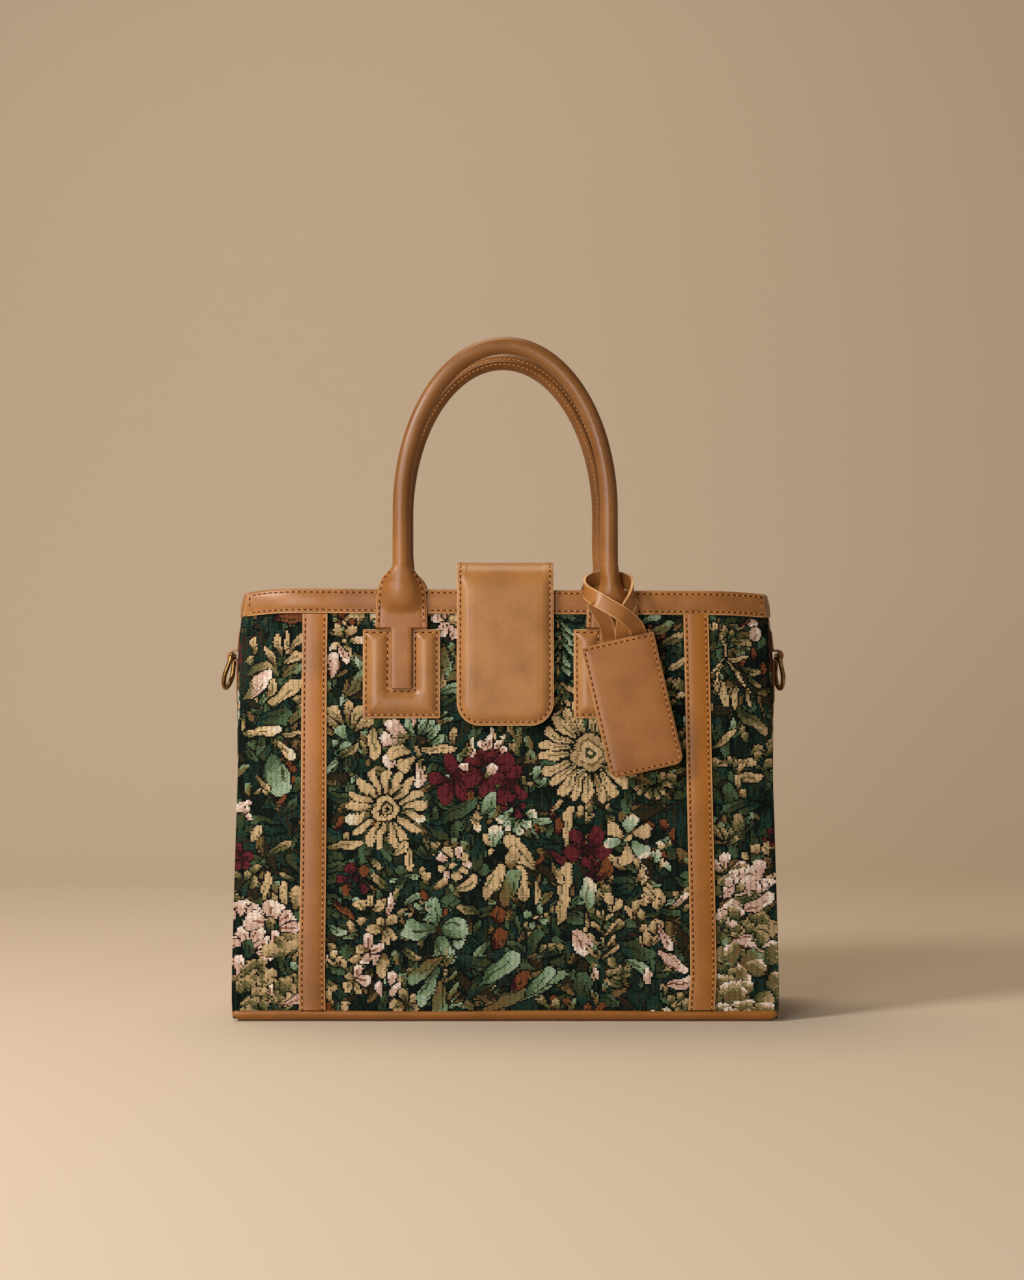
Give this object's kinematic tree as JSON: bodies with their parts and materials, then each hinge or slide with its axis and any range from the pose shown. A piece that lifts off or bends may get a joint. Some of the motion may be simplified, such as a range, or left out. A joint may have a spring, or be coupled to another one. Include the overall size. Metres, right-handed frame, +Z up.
{
  "type": "carpet bag",
  "caption": "Upright tapestry carry bag with leather trim, arched rolled handles, a padded fold-over flap, side D-rings and a hanging leather tag.",
  "frame": {"origin": "centre of the flat underside the bag stands on", "axes": "+X to the bag's left-hand side as carried facing away (right in the picture), -Y out of the front panel with the flap and tag, +Z up"},
  "size_m": [0.4026, 0.149, 0.4771],
  "materials": {
    "tapestry": "floral jacquard weave on a dark green ground",
    "leather": "satin tan leather with tan stitching",
    "dark_leather": "satin brown leather with tan stitching",
    "lining": "plain cotton twill",
    "board": "stiff base board",
    "antique_brass": "antiqued, worn bright on the edges",
    "magnet_steel": "plated magnet disc"
  },
  "bodies": {
    "bag": {"front_panel": "tapestry", "back_panel": "tapestry", "left_gusset": "tapestry", "right_gusset": "tapestry", "base_leather": "dark_leather", "base_board": "board", "lining": "lining", "front_band": "leather", "back_band": "leather", "left_band": "leather", "right_band": "leather", "front_left_strip": "dark_leather", "front_right_strip": "dark_leather", "back_left_strip": "dark_leather", "back_right_strip": "dark_leather", "front_left_tab": "leather", "front_right_tab": "leather", "back_left_tab": "leather", "back_right_tab": "leather", "front_left_patch": "leather", "front_right_patch": "leather", "back_left_patch": "leather", "back_right_patch": "leather", "flap_anchor": "leather", "panel_magnet": "magnet_steel", "left_ring_tab": "leather", "right_ring_tab": "leather", "tag_strap": "dark_leather"},
    "front_handle": {"front_handle": "leather"},
    "back_handle": {"back_handle": "leather"},
    "flap": {"closure_flap": "leather", "flap_magnet": "magnet_steel"},
    "left_ring": {"left_ring": "antique_brass"},
    "right_ring": {"right_ring": "antique_brass"},
    "tag": {"tag_front_leaf": "leather", "tag_back_leaf": "leather"}
  },
  "joints": [
    {"name": "front_handle_fold", "type": "hinge", "parent": "bag", "child": "front_handle", "pos_m": [0, -0.06068, 0.31538], "axis": [1, 0, 0], "range_deg": [-10, 85], "stiffness_Nm_per_rad": 0.4},
    {"name": "back_handle_fold", "type": "hinge", "parent": "bag", "child": "back_handle", "pos_m": [0, 0.06068, 0.31538], "axis": [-1, 0, 0], "range_deg": [-10, 85], "stiffness_Nm_per_rad": 0.4},
    {"name": "flap_open", "type": "hinge", "parent": "bag", "child": "flap", "pos_m": [0, 0.0615, 0.27473], "axis": [-1, 0, 0], "range_deg": [0, 150]},
    {"name": "left_ring_swing", "type": "hinge", "parent": "bag", "child": "left_ring", "pos_m": [-0.1962, 0, 0.2539], "axis": [0, 1, 0], "range_deg": [-13, 130]},
    {"name": "right_ring_swing", "type": "hinge", "parent": "bag", "child": "right_ring", "pos_m": [0.1962, 0, 0.2539], "axis": [0, -1, 0], "range_deg": [-4, 130]},
    {"name": "tag_lift", "type": "hinge", "parent": "bag", "child": "tag", "pos_m": [0.077, -0.06217, 0.26279], "axis": [-0.9744, -0.0106, -0.2247], "range_deg": [0, 40]}
  ]
}
